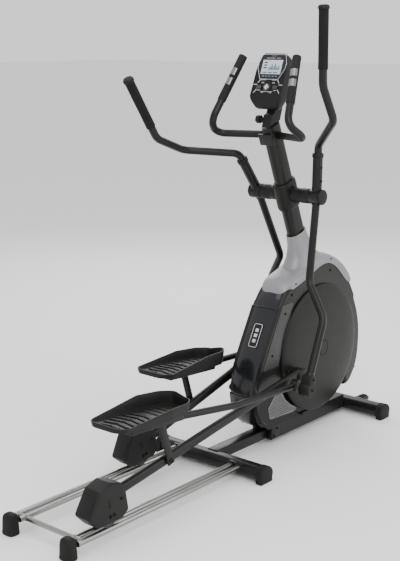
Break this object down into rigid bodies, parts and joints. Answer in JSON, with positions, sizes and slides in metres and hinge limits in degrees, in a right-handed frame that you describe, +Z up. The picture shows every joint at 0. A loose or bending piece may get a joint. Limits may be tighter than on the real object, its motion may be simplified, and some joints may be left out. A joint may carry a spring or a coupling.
{
  "type": "elliptical trainer",
  "caption": "Front-drive elliptical trainer: rear roller rails, suspended pedals, swinging handlebars, fixed bar, console on a leaning mast, covered crank discs.",
  "frame": {"origin": "on the floor under the middle of the machine's bounding box", "axes": "+X the way the user faces, from the rear rollers to the mast; +Y the user's left; +Z up"},
  "size_m": [1.804, 0.6129, 1.6494],
  "materials": {
    "black_steel": "satin black powder coat",
    "matte_black": "moulded plastic with a fine grain",
    "gloss_black": "glossy moulded plastic",
    "dark_grey": "moulded plastic",
    "rubber": "matt",
    "silver_plastic": "silver paint on plastic",
    "bright_steel": "plated",
    "cast_metal": "turned",
    "lcd": "clear window over a liquid crystal display"
  },
  "bodies": {
    "frame": {"badge_plate": "dark_grey", "base_cover": "matte_black", "console_body": "matte_black", "console_neck": "matte_black", "console_screen": "lcd", "crank_bearing_left": "bright_steel", "crank_bearing_right": "bright_steel", "drive_belt": "rubber", "fixed_bar": "black_steel", "front_foot_left": "rubber", "front_foot_right": "rubber", "front_stabiliser": "black_steel", "housing_left": "gloss_black", "housing_right": "gloss_black", "main_frame": "black_steel", "mast": "black_steel", "mast_collar": "silver_plastic", "middle_foot_left": "rubber", "middle_foot_right": "rubber", "middle_stabiliser": "black_steel", "pivot_axle": "bright_steel", "pivot_cover": "matte_black", "rail_frame": "bright_steel", "rear_foot_left": "rubber", "rear_foot_right": "rubber", "rear_panel": "gloss_black", "trim_strip_left": "dark_grey", "trim_strip_right": "dark_grey"},
    "crank": {"crank_pulley": "bright_steel", "crank_arm_left": "bright_steel", "crank_arm_right": "bright_steel", "crank_disc_left": "matte_black", "crank_disc_right": "matte_black"},
    "flywheel": {"flywheel": "cast_metal"},
    "idler": {"belt_idler": "bright_steel"},
    "brake": {"brake_shoe": "cast_metal"},
    "right_carriage": {"roller_axle_right": "bright_steel"},
    "right_roller": {"roller_right": "dark_grey"},
    "right_leg": {"roller_arm_right": "black_steel", "roller_cover_right": "matte_black"},
    "right_pedal_body": {"pedal_right": "matte_black", "pedal_link_right": "black_steel"},
    "right_swing": {"swing_arm_right": "black_steel", "handlebar_right": "black_steel", "grip_right": "rubber"},
    "right_transport_wheel": {"transport_wheel_right": "rubber"},
    "right_key": {"key_right": "dark_grey"},
    "left_carriage": {"roller_axle_left": "bright_steel"},
    "left_roller": {"roller_left": "dark_grey"},
    "left_leg": {"roller_arm_left": "black_steel", "roller_cover_left": "matte_black"},
    "left_pedal_body": {"pedal_left": "matte_black", "pedal_link_left": "black_steel"},
    "left_swing": {"swing_arm_left": "black_steel", "handlebar_left": "black_steel", "grip_left": "rubber"},
    "left_transport_wheel": {"transport_wheel_left": "rubber"},
    "left_key": {"key_left": "dark_grey"},
    "dial": {"console_dial": "silver_plastic"},
    "tilt_knob": {"console_knob": "matte_black"}
  },
  "joints": [
    {"name": "crank_turn", "type": "hinge", "parent": "frame", "child": "crank", "pos_m": [0.546, 0, 0.341], "axis": [0, 1, 0], "continuous": true},
    {"name": "flywheel_spin", "type": "hinge", "parent": "frame", "child": "flywheel", "pos_m": [0.323, 0, 0.195], "axis": [0, 1, 0], "continuous": true},
    {"name": "idler_spin", "type": "hinge", "parent": "frame", "child": "idler", "pos_m": [0.458, 0, 0.158], "axis": [0, 1, 0], "continuous": true},
    {"name": "brake_swing", "type": "hinge", "parent": "frame", "child": "brake", "pos_m": [0.323, 0, 0.195], "axis": [0, 1, 0], "range_deg": [0, 4]},
    {"name": "right_stride", "type": "slide", "parent": "frame", "child": "right_carriage", "axis": [1, 0, 0], "range_m": [0, 0.43]},
    {"name": "right_roll", "type": "hinge", "parent": "right_carriage", "child": "right_roller", "pos_m": [-0.72878, -0.133, 0.0925], "axis": [0, 1, 0], "continuous": true},
    {"name": "right_lift", "type": "hinge", "parent": "right_carriage", "child": "right_leg", "pos_m": [-0.72878, -0.133, 0.0925], "axis": [0, -1, 0], "range_deg": [-7, 14]},
    {"name": "right_pedal_pivot", "type": "hinge", "parent": "right_leg", "child": "right_pedal_body", "pos_m": [-0.41842, -0.118, 0.17532], "axis": [0, -1, 0], "range_deg": [-14, 7]},
    {"name": "right_handle_swing", "type": "hinge", "parent": "frame", "child": "right_swing", "pos_m": [0.404, 0, 0.963], "axis": [0, 1, 0], "range_deg": [-35.6, 0]},
    {"name": "right_wheel_spin", "type": "hinge", "parent": "frame", "child": "right_transport_wheel", "pos_m": [0.878, -0.082, 0.036], "axis": [0, 1, 0], "continuous": true},
    {"name": "right_key_press", "type": "slide", "parent": "frame", "child": "right_key", "axis": [0.9299, 0, -0.3679], "range_m": [0, 0.0015], "stiffness_N_per_m": 150},
    {"name": "left_stride", "type": "slide", "parent": "frame", "child": "left_carriage", "axis": [1, 0, 0], "range_m": [-0.43, 0]},
    {"name": "left_roll", "type": "hinge", "parent": "left_carriage", "child": "left_roller", "pos_m": [-0.29819, 0.133, 0.0925], "axis": [0, 1, 0], "continuous": true},
    {"name": "left_lift", "type": "hinge", "parent": "left_carriage", "child": "left_leg", "pos_m": [-0.29819, 0.133, 0.0925], "axis": [0, -1, 0], "range_deg": [-14, 7]},
    {"name": "left_pedal_pivot", "type": "hinge", "parent": "left_leg", "child": "left_pedal_body", "pos_m": [0.00076, 0.118, 0.21002], "axis": [0, -1, 0], "range_deg": [-7, 14]},
    {"name": "left_handle_swing", "type": "hinge", "parent": "frame", "child": "left_swing", "pos_m": [0.404, 0, 0.963], "axis": [0, 1, 0], "range_deg": [0, 35.6]},
    {"name": "left_wheel_spin", "type": "hinge", "parent": "frame", "child": "left_transport_wheel", "pos_m": [0.878, 0.082, 0.036], "axis": [0, 1, 0], "continuous": true},
    {"name": "left_key_press", "type": "slide", "parent": "frame", "child": "left_key", "axis": [0.9299, 0, -0.3679], "range_m": [0, 0.0015], "stiffness_N_per_m": 150},
    {"name": "dial_turn", "type": "hinge", "parent": "frame", "child": "dial", "pos_m": [0.26839, 0, 1.36459], "axis": [-0.9299, 0, 0.3679], "continuous": true},
    {"name": "tilt_knob_turn", "type": "hinge", "parent": "frame", "child": "tilt_knob", "pos_m": [0.279, 0.03, 1.248], "axis": [0, 1, 0], "continuous": true}
  ],
  "couplings": [
    {"joint": "flywheel_spin", "follows": "crank_turn", "ratio": 6.1364},
    {"joint": "idler_spin", "follows": "crank_turn", "ratio": -8.4375},
    {"joint": "left_stride", "follows": "right_stride", "ratio": -1},
    {"joint": "right_handle_swing", "follows": "right_stride", "rad_per_m": -1.445},
    {"joint": "left_handle_swing", "follows": "right_stride", "rad_per_m": 1.445},
    {"joint": "left_lift", "follows": "right_lift", "ratio": -1},
    {"joint": "right_pedal_pivot", "follows": "right_lift", "ratio": -1},
    {"joint": "left_pedal_pivot", "follows": "right_lift", "ratio": 1}
  ]
}
